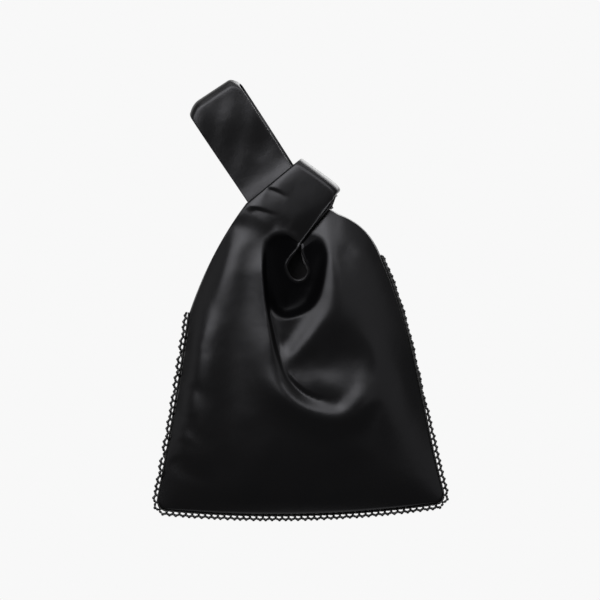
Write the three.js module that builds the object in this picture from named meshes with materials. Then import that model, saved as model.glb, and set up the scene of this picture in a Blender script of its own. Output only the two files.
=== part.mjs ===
// A knot bag: a lined satin bag whose long loop is drawn through its short loop, with a beaded edge.
// Millimetres, +Z up, the front towards -Y.
// The origin is the inside top of the long loop, where a wrist carries the bag.
import * as THREE from "three";

// Cloth: the satin with its interlining, the lining behind it, and the gap between pieces that lie together
const SATIN = 1.6;
const LINING = 1.0;
const GAP = 0.3;

// Bag outline seen from the front, measured from the middle of the bottom seam
const BASE_LEFT = 116.5;
const BASE_RIGHT = 115;
const LEFT_CORNER_RISE = 3.5;
const RIGHT_CORNER_RISE = 9;
const CORNER_CUT = 11;
const BOTTOM_SAG = 6;
const LEFT_SEAM_TOP_OUT = 90;
const LEFT_SEAM_HEIGHT = 162;
const LEFT_SEAM_HOLLOW = 1;
const RIGHT_SEAM_TOP_OUT = 63;
const RIGHT_SEAM_HEIGHT = 207;
const RIGHT_SEAM_FLARE = 0.5;
const RIGHT_SEAM_BOW = 8.5;
const LEFT_SHOULDER_BOW = 4;
const RIGHT_SHOULDER_BOW = 5.5;

// How far the cloth stands out from the middle plane of the bag
const BODY_DEPTH = 24;
const SHOULDER_DEPTH = 22;
const FRONT_BODY_DEPTH = 23;
const FRONT_SHOULDER_DEPTH = 19;
const KNOT_DEPTH = 19;
const BACK_DEPTH = 16;
const PRESS_EASE = 4;
const MOUTH_DEPTH = 8;

// Long loop, along its own lean from the place where it leaves the knot
const KNOT_LEFT = 25;
const KNOT_HEIGHT = 264;
const LOOP_LEAN = 33.4;
const LOOP_WIDTH = 49;
const LOOP_REACH = 88;
const LOOP_HALF_GAP = 5;
const BEND_REACH = 30;
const BEND_EASE = 1.1;
const NECK_REACH = 22;
const ROOT_LEFT = 10;

// Short loop, the band that goes round the long loop
const BAND_WIDTH = 46;
const BAND_GRIP = 0.4;
const BAND_LIFT = 2;
const BAND_RISE = 4;
const BAND_SLANT = 7;
const WRAP_ROOM = 8;
const WRAP_BULGE = 12;
const WRAP_DROP = 30;

// Mouth, the drop-shaped gap under the knot, and the small one behind it that is drawn nearly shut
const MOUTH_WIDTH = 16;
const MOUTH_HEIGHT = 29;
const MOUTH_INSET = 6;
const BACK_MOUTH_WIDTH = 4;
const BACK_MOUTH_HEIGHT = 7;
const BACK_MOUTH_DEPTH = 9.5;

// Beaded edge: a cord along the seam, and picots that each end in a bead
const CORD_DIAMETER = 1.2;
const BEAD_DIAMETER = 2.4;
const PICOT_PITCH = 5.1;
const PICOT_REACH = 2.1;
const PICOT_BAR = 0.6;

// Folds that the knot draws into the front: a hollow round the mouth, the fold that swings round it on the
// left and below, the shorter one on its right, and the one that curls between those two.
// Points are shares of half the bag's width and of the knot's height. Depth is how far out the cloth stands on
// the line, core is how wide that lasts, and reach is where the fold has run out, as shares of the body's depth.
const FOLDS = [
  { depth: 0.375, core: 0.17, reach: 0.92, line: [[-0.08, 0.75], [-0.08, 0.65]] },
  {
    depth: 1.06,
    core: 0.04,
    reach: 0.56,
    line: [[-0.3, 0.81], [-0.3, 0.69], [-0.27, 0.56], [-0.18, 0.41], [0, 0.335], [0.22, 0.3], [0.43, 0.35]],
  },
  {
    depth: 1,
    core: 0.04,
    reach: 0.46,
    line: [[0.19, 0.8], [0.19, 0.7], [0.13, 0.61], [0.02, 0.53], [-0.05, 0.48]],
  },
  {
    depth: 1.06,
    core: 0.04,
    reach: 0.36,
    line: [[-0.06, 0.43], [0.1, 0.395], [0.32, 0.395], [0.45, 0.435]],
  },
];

// Mesh fineness
const FRONT_ROWS = [0, 0.08, 0.16, 0.24, 0.32, 0.4, 0.47, 0.54, 0.62, 0.76, 0.9, 0.98, 1];
const BACK_ROWS = [0, 0.07, 0.2, 0.42, 0.62, 0.8, 0.92, 0.98, 1];
const FOLD_STEPS = 40;
const WRAP_STEPS = [0, 0.01, 0.035, 0.075, 0.14, 0.3, 0.6];
const CORD_STEPS = 170;
const CORD_SIDES = 5;
const LOOP_TURN_STEPS = 10;
const BEAD_ARC_STEPS = 3;

// The cloth stack of a loop, and how far each face of the flattened long loop is from the middle plane
const STACK = SATIN + GAP + LINING;
const LOOP_HALF = LOOP_HALF_GAP + STACK;
const HALF_GAP = GAP / 2;

const lean = THREE.MathUtils.degToRad(LOOP_LEAN);
const knot = new THREE.Vector2(-KNOT_LEFT, KNOT_HEIGHT);
const across = new THREE.Vector2(Math.cos(lean), Math.sin(lean));
const along = new THREE.Vector2(-Math.sin(lean), Math.cos(lean));

// A point in the front view, given across and along the long loop from the knot
function knotPoint(a, b) {
  return knot.clone().addScaledVector(across, a).addScaledVector(along, b);
}

// A curve that stands out to the right of its direction, by one bow early on and another later
function bowed(start, end, bow, laterBow = bow) {
  const chord = end.clone().sub(start);
  const right = new THREE.Vector2(chord.y, -chord.x).normalize();
  const early = start.clone().lerp(end, 1 / 3).addScaledVector(right, (4 / 3) * bow);
  const late = start.clone().lerp(end, 2 / 3).addScaledVector(right, (4 / 3) * laterBow);
  return new THREE.CubicBezierCurve(start, early, late, end);
}

// Points of the outline
const leftSeamTop = new THREE.Vector2(-LEFT_SEAM_TOP_OUT, LEFT_SEAM_HEIGHT);
const rightSeamTop = new THREE.Vector2(RIGHT_SEAM_TOP_OUT, RIGHT_SEAM_HEIGHT);
const leftCorner = new THREE.Vector2(-BASE_LEFT, LEFT_CORNER_RISE);
const rightCorner = new THREE.Vector2(BASE_RIGHT, RIGHT_CORNER_RISE);

// A point CORNER_CUT away from a corner towards another point
function cut(corner, towards) {
  const way = towards.clone().sub(corner).setLength(CORNER_CUT);
  return corner.clone().add(way);
}

const leftSide = cut(leftCorner, leftSeamTop);
const leftFoot = cut(leftCorner, rightCorner);
const rightFoot = cut(rightCorner, leftCorner);
const rightSide = cut(rightCorner, rightSeamTop);

const leftSeam = bowed(leftSeamTop, leftSide, -LEFT_SEAM_HOLLOW);
const leftTurn = new THREE.QuadraticBezierCurve(leftSide, leftCorner, leftFoot);
const bottomSeam = bowed(leftFoot, rightFoot, BOTTOM_SAG);
const rightTurn = new THREE.QuadraticBezierCurve(rightFoot, rightCorner, rightSide);
const rightSeam = bowed(rightSide, rightSeamTop, -RIGHT_SEAM_FLARE, RIGHT_SEAM_BOW);

// Short loop: its upper edge lies along the top of the knot, and its lower edge ends at the mouth
const bandOut = LOOP_WIDTH / 2 + WRAP_ROOM;
const bandTopLeft = knotPoint(-LOOP_WIDTH / 2, -BAND_LIFT);
const bandTopRight = knotPoint(bandOut, BAND_RISE);
const bandSide = knotPoint(bandOut + WRAP_BULGE, -WRAP_DROP);
const bandLowRight = knotPoint(bandOut + BAND_LIFT, BAND_LIFT + BAND_SLANT / 2 - BAND_WIDTH);
const mouthTop = knotPoint(-MOUTH_INSET, -BAND_WIDTH - BAND_SLANT);
const wrapLine = new THREE.SplineCurve([bandLowRight, bandSide, bandTopRight]);

// Mouth edge, from the end of the short loop down and up again, with its points as shares of its size
function mouthEdge(width, height) {
  const at = (right, down) => mouthTop.clone().add(new THREE.Vector2(right * width, -down * height));
  return new THREE.SplineCurve([mouthTop, at(-0.6, 0.47), at(-0.15, 1), at(0.4, 0.62)]);
}

// The right shoulder ends under the band, clear of the neck of the long loop when the knot is eased
const rightEndIn = knotPoint(-ROOT_LEFT, BAND_LIFT - BAND_WIDTH);
const rightEndOut = knotPoint(LOOP_WIDTH / 2 + BAND_LIFT, BAND_LIFT + BAND_SLANT - BAND_WIDTH);
const shoulderTurn = knotPoint(LOOP_WIDTH / 2 + WRAP_ROOM, -BAND_WIDTH - BAND_SLANT / 2);
const leftShoulder = bowed(bandTopLeft, leftSeamTop, LEFT_SHOULDER_BOW);
const rightShoulder = bowed(rightSeamTop, shoulderTurn, RIGHT_SHOULDER_BOW);

// How the depth runs across a panel: at its outer edge, at its crown and at the mouth
const bandEdge = LOOP_HALF + BAND_GRIP + STACK;
const atBand = { edge: bandEdge, crown: KNOT_DEPTH, mouth: KNOT_DEPTH - BAND_LIFT };
const atBandEnd = { edge: bandEdge, crown: KNOT_DEPTH, mouth: bandEdge };
const atRightTurn = { edge: LOOP_HALF, crown: LOOP_HALF + STACK / 2, mouth: LOOP_HALF };
const atRightEnd = { edge: LOOP_HALF, crown: LOOP_HALF, mouth: LOOP_HALF };

// Where the crown lies between the mouth and the outer edge, how full the cloth is towards that edge,
// and how far the right shoulder closes the mouth before it goes under the band
const CREST = 0.45;
const ROUNDNESS = 0.7;
const MOUTH_CLOSE = 0.75;

// Depth at a row, which runs from 0 at the mouth to 1 at the outer edge
function depthAt({ edge, crown, mouth }, row) {
  if (row < CREST) {
    return mouth + (crown - mouth) * Math.sin((Math.PI / 2) * (row / CREST));
  }
  const fall = (row - CREST) / (1 - CREST);
  return edge + (crown - edge) * (1 - fall * fall) ** ROUNDNESS;
}

function mixDepths(from, to, t) {
  const s = THREE.MathUtils.smoothstep(t, 0, 1);
  const mix = (key) => THREE.MathUtils.lerp(from[key], to[key], s);
  return { edge: mix("edge"), crown: mix("crown"), mouth: mix("mouth") };
}

// One column of a panel, from the mouth to the outer edge
function column(inner, outer, depths, rows) {
  return rows.map((row) => {
    const p = inner.clone().lerp(outer, row);
    return new THREE.Vector3(p.x, -depthAt(depths, row), p.y);
  });
}

// The part of a panel between two stretches of its mouth and its outer edge, without its first column
function stretch(inner, outer, steps, from, to, rows) {
  return Array.from({ length: steps }, (_, i) => {
    const t = (i + 1) / steps;
    return column(inner(t), outer.getPoint(t), mixDepths(from, to, t), rows);
  });
}

// The short loop's half of a panel: it rounds from the middle plane at the wrap up to the depth of the band,
// and its lower edge sinks towards the mouth
function bandColumns(rows) {
  return WRAP_STEPS.map((t) => {
    const depths = mixDepths(atBand, atBandEnd, t);
    return rows.map((row) => {
      const wrap = wrapLine.getPoint(row);
      const end = mouthTop.clone().lerp(bandTopLeft, row);
      const run = t * wrap.distanceTo(end);
      const turn = Math.max(0, 1 - run / WRAP_ROOM);
      const depth = Math.max(HALF_GAP, depthAt(depths, row) * Math.sqrt(1 - turn * turn));
      const p = wrap.lerp(end, t);
      return new THREE.Vector3(p.x, -depth, p.y);
    });
  });
}

// A whole panel as columns of points, from the wrap of the short loop round the mouth to the right shoulder.
// Each stretch of the outline faces the mouth edge as far as its share.
function panelColumns(edge, { shoulder, body, mouth }, rows) {
  const atShoulder = { edge: HALF_GAP, crown: shoulder, mouth };
  const atBody = { edge: HALF_GAP, crown: body, mouth };
  const roundMouth = [
    { outer: leftShoulder, share: 0.3, steps: 5, from: atBandEnd, to: atShoulder },
    { outer: leftSeam, share: 0.48, steps: 6, from: atShoulder, to: atBody },
    { outer: leftTurn, share: 0.53, steps: 3, from: atBody, to: atBody },
    { outer: bottomSeam, share: 0.74, steps: 8, from: atBody, to: atBody },
    { outer: rightTurn, share: 0.79, steps: 3, from: atBody, to: atBody },
    { outer: rightSeam, share: 1, steps: 8, from: atBody, to: atShoulder },
  ];
  const columns = [...bandColumns(rows), column(mouthTop, bandTopLeft, atBandEnd, rows)];
  let reached = 0;
  for (const { outer, share, steps, from, to } of roundMouth) {
    const start = reached;
    const inner = (t) => edge.getPoint(THREE.MathUtils.lerp(start, share, t));
    columns.push(...stretch(inner, outer, steps, from, to, rows));
    reached = share;
  }
  const mouthEnd = edge.getPoint(1);
  const underBand = mouthEnd.clone().lerp(mouthTop, MOUTH_CLOSE);
  const upMouth = (t) => mouthEnd.clone().lerp(underBand, t);
  const toEnd = (t) => underBand.clone().lerp(rightEndIn, t);
  const underEdge = new THREE.LineCurve(shoulderTurn, rightEndOut);
  columns.push(...stretch(upMouth, rightShoulder, 5, atShoulder, atRightTurn, rows));
  columns.push(...stretch(toEnd, underEdge, 2, atRightTurn, atRightEnd, rows));
  return columns;
}

// The folds in millimetres, each with its line as points close together
const folds = FOLDS.map(({ depth, core, reach, line }) => {
  const points = line.map(([x, z]) => new THREE.Vector2(x * BASE_LEFT, z * KNOT_HEIGHT));
  const run = new THREE.SplineCurve(points).getPoints(FOLD_STEPS);
  return { depth: depth * BODY_DEPTH, core: core * BODY_DEPTH, reach: reach * BODY_DEPTH, run };
});

// Draws each fold into the panel in turn: on its line the cloth takes the depth of the fold
function folded(columns) {
  return columns.map((points) =>
    points.map((p) => {
      const spot = new THREE.Vector2(p.x, p.z);
      const out = folds.reduce((plain, { depth, core, reach, run }) => {
        const away = Math.min(...run.map((q) => q.distanceTo(spot)));
        const share = THREE.MathUtils.smoothstep(reach - away, 0, reach - core);
        return THREE.MathUtils.lerp(plain, depth, share);
      }, -p.y);
      return new THREE.Vector3(p.x, -out, p.z);
    }),
  );
}

// The back panel is pressed flat, as when the bag lies on a table, and eases into the flat
function pressed(depth) {
  const over = THREE.MathUtils.clamp(depth - BACK_DEPTH, -PRESS_EASE, PRESS_EASE);
  return Math.min(depth, BACK_DEPTH - (PRESS_EASE - over) ** 2 / (4 * PRESS_EASE));
}

function flattened(columns) {
  return columns.map((points) => points.map((p) => new THREE.Vector3(p.x, -pressed(-p.y), p.z)));
}

// Outward normals of a grid of points
function gridNormals(columns) {
  const lastColumn = columns.length - 1;
  const lastRow = columns[0].length - 1;
  return columns.map((points, i) =>
    points.map((_, j) => {
      const before = columns[Math.max(i - 1, 0)][j];
      const after = columns[Math.min(i + 1, lastColumn)][j];
      const inner = points[Math.max(j - 1, 0)];
      const outer = points[Math.min(j + 1, lastRow)];
      const run = after.clone().sub(before);
      const rise = outer.clone().sub(inner);
      return rise.cross(run).normalize();
    }),
  );
}

// The grid moved inwards by a distance, and kept on its own side of the seam
function inset(columns, normals, distance) {
  return columns.map((points, i) =>
    points.map((p, j) => {
      const q = p.clone().addScaledVector(normals[i][j], -distance);
      q.y = Math.min(q.y, -HALF_GAP);
      return q;
    }),
  );
}

// A closed sheet between an outer and an inner grid
function closedSheet(outer, inner) {
  const rows = outer[0].length;
  const points = [...outer.flat(), ...inner.flat()];
  const innerStart = outer.length * rows;
  const at = (i, j, skin) => skin * innerStart + i * rows + j;
  const index = [];
  const quad = (a, b, c, d) => index.push(a, b, c, a, c, d);
  for (let i = 0; i + 1 < outer.length; i++) {
    for (let j = 0; j + 1 < rows; j++) {
      quad(at(i, j, 0), at(i, j + 1, 0), at(i + 1, j + 1, 0), at(i + 1, j, 0));
      quad(at(i, j, 1), at(i + 1, j, 1), at(i + 1, j + 1, 1), at(i, j + 1, 1));
    }
    quad(at(i, 0, 0), at(i + 1, 0, 0), at(i + 1, 0, 1), at(i, 0, 1));
    quad(at(i, rows - 1, 0), at(i, rows - 1, 1), at(i + 1, rows - 1, 1), at(i + 1, rows - 1, 0));
  }
  const last = outer.length - 1;
  for (let j = 0; j + 1 < rows; j++) {
    quad(at(0, j, 0), at(0, j, 1), at(0, j + 1, 1), at(0, j + 1, 0));
    quad(at(last, j, 0), at(last, j + 1, 0), at(last, j + 1, 1), at(last, j, 1));
  }
  const geometry = new THREE.BufferGeometry().setFromPoints(points);
  geometry.setIndex(index);
  geometry.computeVertexNormals();
  return geometry;
}

// The satin of a panel, or its lining behind it
function panelSheet(columns, depth, thickness) {
  const normals = gridNormals(columns);
  return closedSheet(inset(columns, normals, depth), inset(columns, normals, depth + thickness));
}

// Turns a sheet of the front into one of the back
function turnedRound(geometry) {
  geometry.scale(1, -1, 1);
  const index = geometry.index;
  for (let i = 0; i < index.count; i += 3) {
    const second = index.getX(i + 1);
    index.setX(i + 1, index.getX(i + 2));
    index.setX(i + 2, second);
  }
  geometry.computeVertexNormals();
  return geometry;
}

// An outline in the plane of the bag, as a plate that starts at a distance from the middle plane
function plate(shape, start, thickness) {
  const geometry = new THREE.ExtrudeGeometry(shape, { depth: thickness, bevelEnabled: false });
  geometry.rotateX(Math.PI / 2);
  geometry.translate(0, start + thickness, 0);
  return geometry;
}

// A flat length of the long loop, across its width between two heights
function strapShape(low, high) {
  const half = LOOP_WIDTH / 2;
  return new THREE.Shape([
    new THREE.Vector2(-half, low),
    new THREE.Vector2(half, low),
    new THREE.Vector2(half, high),
    new THREE.Vector2(-half, high),
  ]);
}

// The top of the long loop: a strip that goes up, turns over and comes down again
function crownGeometry(outerHalf, thickness, low) {
  const turn = LOOP_REACH - LOOP_HALF;
  const profile = new THREE.Shape();
  profile.moveTo(-outerHalf, low);
  profile.lineTo(-outerHalf + thickness, low);
  profile.lineTo(-outerHalf + thickness, turn);
  profile.absarc(0, turn, outerHalf - thickness, Math.PI, 0, true);
  profile.lineTo(outerHalf - thickness, low);
  profile.lineTo(outerHalf, low);
  profile.lineTo(outerHalf, turn);
  profile.absarc(0, turn, outerHalf, 0, Math.PI, false);
  const geometry = new THREE.ExtrudeGeometry(profile, {
    depth: LOOP_WIDTH,
    bevelEnabled: false,
    curveSegments: LOOP_TURN_STEPS,
  });
  const [x, y, z] = [new THREE.Vector3(1, 0, 0), new THREE.Vector3(0, 1, 0), new THREE.Vector3(0, 0, 1)];
  geometry.applyMatrix4(new THREE.Matrix4().makeBasis(y, z, x));
  geometry.translate(-LOOP_WIDTH / 2, 0, 0);
  return geometry;
}

// Seam path that the beaded edge follows, down the left side, along the bottom and up the right side
const seamPath = new THREE.CurvePath();
[leftSeam, leftTurn, bottomSeam, rightTurn, rightSeam].forEach((curve) => seamPath.add(curve));
const seamLength = seamPath.getLength();

// A point beside the seam, at a distance along it and a distance out from it
function besideSeam(distance, out) {
  const u = THREE.MathUtils.clamp(distance / seamLength, 0, 1);
  const p = seamPath.getPointAt(u);
  const way = seamPath.getTangentAt(u);
  return p.add(new THREE.Vector2(way.y, -way.x).multiplyScalar(out));
}

function cordGeometry() {
  const points = Array.from({ length: CORD_STEPS + 1 }, (_, i) => {
    const p = besideSeam((i / CORD_STEPS) * seamLength, GAP + CORD_DIAMETER / 2);
    return new THREE.Vector3(p.x, 0, p.y);
  });
  const section = new THREE.Shape(
    Array.from({ length: CORD_SIDES }, (_, i) => {
      const angle = (2 * Math.PI * i) / CORD_SIDES;
      return new THREE.Vector2(Math.cos(angle), Math.sin(angle)).multiplyScalar(CORD_DIAMETER / 2);
    }),
  );
  return new THREE.ExtrudeGeometry(section, {
    steps: CORD_STEPS,
    bevelEnabled: false,
    extrudePath: new THREE.CatmullRomCurve3(points),
  });
}

// Picots side by side along a stretch of the seam: a bar on the cord, and a bead on two legs over each window
const picotFoot = 2 * GAP + CORD_DIAMETER;
const picotBar = picotFoot + PICOT_BAR;
const beadOut = picotFoot + PICOT_REACH;

function picotsShape(from, to) {
  const count = Math.round((to - from) / PICOT_PITCH);
  const pitch = (to - from) / count;
  const bead = BEAD_DIAMETER / 2;
  const outer = [];
  const windows = [];
  for (let i = 0; i < count; i++) {
    const middle = from + (i + 0.5) * pitch;
    outer.push(besideSeam(middle - pitch / 2, picotBar));
    for (let k = 0; k <= BEAD_ARC_STEPS; k++) {
      const angle = Math.PI * (k / BEAD_ARC_STEPS);
      outer.push(besideSeam(middle - bead * Math.cos(angle), beadOut + bead * Math.sin(angle)));
    }
    windows.push(
      new THREE.Path([
        besideSeam(middle - pitch / 4, picotBar),
        besideSeam(middle + pitch / 4, picotBar),
        besideSeam(middle, beadOut - PICOT_BAR / 2),
      ]),
    );
  }
  outer.push(besideSeam(to, picotBar));
  const footSteps = 2 * count;
  const foot = Array.from({ length: footSteps + 1 }, (_, i) =>
    besideSeam(THREE.MathUtils.lerp(to, from, i / footSteps), picotFoot),
  );
  const shape = new THREE.Shape([...outer, ...foot]);
  shape.holes = windows;
  return shape;
}

// Materials
function cloth(color, roughness) {
  return new THREE.MeshStandardMaterial({ color, roughness, metalness: 0, side: THREE.DoubleSide });
}
const satin = cloth(0x1b1b1d, 0.36);
const lining = cloth(0x141416, 0.6);
const thread = cloth(0x0d0d0e, 0.7);
const jet = new THREE.MeshStandardMaterial({ color: 0x08080a, roughness: 0.15, metalness: 0 });

const bag = new THREE.Group();

function addTo(group, name, geometry, material) {
  const mesh = new THREE.Mesh(geometry, material);
  mesh.name = name;
  group.add(mesh);
}

// Panels and their linings
const frontDepths = { shoulder: FRONT_SHOULDER_DEPTH, body: FRONT_BODY_DEPTH, mouth: MOUTH_DEPTH };
const backDepths = { shoulder: SHOULDER_DEPTH, body: BODY_DEPTH, mouth: BACK_MOUTH_DEPTH };
const front = folded(panelColumns(mouthEdge(MOUTH_WIDTH, MOUTH_HEIGHT), frontDepths, FRONT_ROWS));
const backMouth = mouthEdge(BACK_MOUTH_WIDTH, BACK_MOUTH_HEIGHT);
const back = flattened(panelColumns(backMouth, backDepths, BACK_ROWS));
addTo(bag, "front_panel", panelSheet(front, 0, SATIN), satin);
addTo(bag, "front_lining", panelSheet(front, SATIN + GAP, LINING), lining);
addTo(bag, "back_panel", turnedRound(panelSheet(back, 0, SATIN)), satin);
addTo(bag, "back_lining", turnedRound(panelSheet(back, SATIN + GAP, LINING)), lining);

// Long loop in the lean of the knot: root under the band, neck through it, bend that folds, and crown
const loop = new THREE.Group();
loop.position.set(knot.x, 0, knot.y);
loop.rotation.y = -lean;
bag.add(loop);

const bendHalf = LOOP_HALF + BEND_EASE;
const neckLow = -NECK_REACH;
const neckHigh = BEND_REACH - bendHalf - HALF_GAP;
const bendLow = neckHigh + GAP;
const crownLow = BEND_REACH + bendHalf + HALF_GAP;
const bendHigh = crownLow - GAP;

// The root spans from the neck to the end of the right shoulder, both given across and along the loop
function rootShape() {
  const half = LOOP_WIDTH / 2;
  const local = (p, drop) => {
    const offset = p.clone().sub(knot);
    return new THREE.Vector2(offset.dot(across), offset.dot(along) + drop);
  };
  return new THREE.Shape([
    local(rightEndIn, 2 * GAP),
    local(rightEndOut, 2 * GAP),
    new THREE.Vector2(half, neckLow - GAP),
    new THREE.Vector2(-half, neckLow - GAP),
  ]);
}

const loopLayers = [
  { suffix: "", start: LOOP_HALF - SATIN, thickness: SATIN, material: satin },
  { suffix: "_lining", start: LOOP_HALF_GAP, thickness: LINING, material: lining },
];
const loopStretches = [
  { name: "long_loop_root", shape: rootShape() },
  { name: "long_loop_neck", shape: strapShape(neckLow, neckHigh) },
  { name: "long_loop_bend", shape: strapShape(bendLow, bendHigh) },
];
for (const { suffix, start, thickness, material } of loopLayers) {
  for (const { name, shape } of loopStretches) {
    const frontStart = -start - thickness;
    addTo(loop, `${name}_front${suffix}`, plate(shape, frontStart, thickness), material);
    addTo(loop, `${name}_back${suffix}`, plate(shape, start, thickness), material);
  }
  const crown = crownGeometry(start + thickness, thickness, crownLow);
  addTo(loop, `long_loop_crown${suffix}`, crown, material);
}

// Beaded edge
const cornerLeft = leftSeam.getLength() + leftTurn.getLength() / 2;
const cornerRight = seamLength - rightSeam.getLength() - rightTurn.getLength() / 2;
const edges = [
  { name: "beaded_edge_left", from: 0, to: cornerLeft - HALF_GAP },
  { name: "beaded_edge_bottom", from: cornerLeft + HALF_GAP, to: cornerRight - HALF_GAP },
  { name: "beaded_edge_right", from: cornerRight + HALF_GAP, to: seamLength },
];
addTo(bag, "edging_cord", cordGeometry(), thread);
for (const { name, from, to } of edges) {
  addTo(bag, name, plate(picotsShape(from, to), -BEAD_DIAMETER / 2, BEAD_DIAMETER), jet);
}

// The inside top of the long loop comes to the origin
const carried = knotPoint(0, LOOP_REACH - STACK);
bag.position.set(-carried.x, 0, -carried.y);

const model = new THREE.Group();
model.add(bag);
export default model;
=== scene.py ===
# %% [markdown]
# A knot bag in black satin. Two loops of cloth grow out of its shoulders, a short one and a long one. The
# long loop is drawn through the short one, which grips it, and the bag hangs from the wrist by the long
# loop. The CAD model gives the places and the joints. This lesson dresses it in cloth, thread and beads.

# %% Load the frame
import math

import bmesh
import bpy
import numpy as np
from mathutils import Matrix, Vector


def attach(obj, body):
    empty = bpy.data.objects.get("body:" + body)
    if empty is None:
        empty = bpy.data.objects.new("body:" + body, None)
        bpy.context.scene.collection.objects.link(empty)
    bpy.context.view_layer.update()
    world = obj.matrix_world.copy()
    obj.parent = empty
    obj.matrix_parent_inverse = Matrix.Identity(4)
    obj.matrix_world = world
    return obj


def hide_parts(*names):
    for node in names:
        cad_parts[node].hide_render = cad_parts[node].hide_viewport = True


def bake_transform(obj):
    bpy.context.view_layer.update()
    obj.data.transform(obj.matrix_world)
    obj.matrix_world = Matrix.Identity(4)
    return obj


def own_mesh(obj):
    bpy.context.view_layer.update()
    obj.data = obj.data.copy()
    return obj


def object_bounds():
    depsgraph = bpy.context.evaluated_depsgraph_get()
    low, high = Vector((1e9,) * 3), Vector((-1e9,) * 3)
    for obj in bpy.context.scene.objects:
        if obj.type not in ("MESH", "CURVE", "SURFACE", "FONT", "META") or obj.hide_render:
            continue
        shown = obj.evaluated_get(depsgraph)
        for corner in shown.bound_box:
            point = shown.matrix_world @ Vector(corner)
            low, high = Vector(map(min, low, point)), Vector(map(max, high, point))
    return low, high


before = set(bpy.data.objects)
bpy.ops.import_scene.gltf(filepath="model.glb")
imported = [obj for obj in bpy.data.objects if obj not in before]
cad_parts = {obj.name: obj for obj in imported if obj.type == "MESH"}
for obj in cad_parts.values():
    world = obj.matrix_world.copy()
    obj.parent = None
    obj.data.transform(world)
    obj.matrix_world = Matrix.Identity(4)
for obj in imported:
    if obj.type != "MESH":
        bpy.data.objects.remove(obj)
cad_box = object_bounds()

# %% [markdown]
# The bag is drawn in millimetres, seen from the front, from the middle of its bottom seam. The knot
# leans, so it has directions of its own: across the long loop, and along it. The CAD frame starts at the
# inside top of the long loop, where a wrist carries the bag.

# %% Places and directions
KNOT = np.array([-25.0, 264.0])
LEAN = math.radians(33.4)
ACROSS = np.array([math.cos(LEAN), math.sin(LEAN)])
ALONG = np.array([-math.sin(LEAN), math.cos(LEAN)])
# The long loop: how far it stands out of the knot, half of its depth, and the cloth at its top
LOOP_REACH = 88.0
LOOP_HALF = 7.9
CLOTH_STACK = 2.9
METRES = 0.001


def knot_point(across, along):
    """A point of the bag, by its place across the long loop and along it."""
    across, along = np.asarray(across, float), np.asarray(along, float)
    return KNOT + across[..., None] * ACROSS + along[..., None] * ALONG


CARRIED = knot_point(0, LOOP_REACH - CLOTH_STACK)


def placed(points):
    """Millimetres of the bag to metres of the frame."""
    return (np.asarray(points, float) - np.array([CARRIED[0], 0, CARRIED[1]])) * METRES


print("the wrist carries the bag at", CARRIED.round(1), "mm")

# %% [markdown]
# Cloth is drawn with a few kinds of line: a curve that bows out of the straight way between two points, a
# round corner, and a spline through a handful of points. Each gives as many points as it is asked for.

# %% Lines


def bezier(controls, shares):
    points = [np.repeat(np.array([c], float), len(shares), axis=0) for c in controls]
    while len(points) > 1:
        points = [a + (b - a) * shares[:, None] for a, b in zip(points, points[1:])]
    return points[0]


def bowed(start, end, bow, later_bow=None):
    """A curve that stands out to the right of its direction, by one bow early on and another later."""
    chord = end - start
    right = np.array([chord[1], -chord[0]]) / np.linalg.norm(chord)
    late = bow if later_bow is None else later_bow
    controls = [start, start + chord / 3 + right * bow * 4 / 3, end - chord / 3 + right * late * 4 / 3, end]
    return lambda shares: bezier(controls, np.asarray(shares, float))


def corner(start, tip, end):
    return lambda shares: bezier([start, tip, end], np.asarray(shares, float))


def spline(points):
    """A smooth curve through all the points."""
    points = np.asarray(points, float)
    last = len(points) - 1

    def at(shares):
        place = np.clip(np.asarray(shares, float), 0, 1) * last
        i = np.minimum(place.astype(int), last - 1)
        f = (place - i)[..., None]
        a, b, c, d = (points[np.clip(i + k, 0, last)] for k in (-1, 0, 1, 2))
        return b + 0.5 * f * (c - a + f * (2 * a - 5 * b + 4 * c - d + f * (3 * b - a - 3 * c + d)))

    return at


def ease(x):
    """0 below 0, 1 above 1, and a smooth step between."""
    x = np.clip(x, 0, 1)
    return x * x * (3 - 2 * x)


def mix(a, b, share):
    return a + (b - a) * share


halfway = bowed(np.zeros(2), np.array([10.0, 0.0]), -2.0)([0.5])[0]
print("a line of 10 mm that bows by 2 mm passes", halfway.round(2))

# %% [markdown]
# The outline of the bag: two side seams, a bottom seam that sags, and two shoulders that run up to the
# knot. The short loop lies over the knot as a band. Its fold, the wrap, is on the right. The mouth is a
# drop that hangs from the end of the band. A traced outline would need many points. Here a seam is two
# ends and a bow, so a corner takes its seams with it.

# %% Outline
LEFT_TOP = np.array([-90.0, 162.0])
RIGHT_TOP = np.array([63.0, 207.0])
LEFT_CORNER = np.array([-116.5, 3.5])
RIGHT_CORNER = np.array([115.0, 9.0])
CORNER_CUT = 11.0


def cut(tip, towards):
    way = towards - tip
    return tip + way * CORNER_CUT / np.linalg.norm(way)


left_side, left_foot = cut(LEFT_CORNER, LEFT_TOP), cut(LEFT_CORNER, RIGHT_CORNER)
right_foot, right_side = cut(RIGHT_CORNER, LEFT_CORNER), cut(RIGHT_CORNER, RIGHT_TOP)
left_seam = bowed(LEFT_TOP, left_side, -1.0)
left_turn = corner(left_side, LEFT_CORNER, left_foot)
bottom_seam = bowed(left_foot, right_foot, 6.0)
right_turn = corner(right_foot, RIGHT_CORNER, right_side)
right_seam = bowed(right_side, RIGHT_TOP, -0.5, 8.5)

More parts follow.
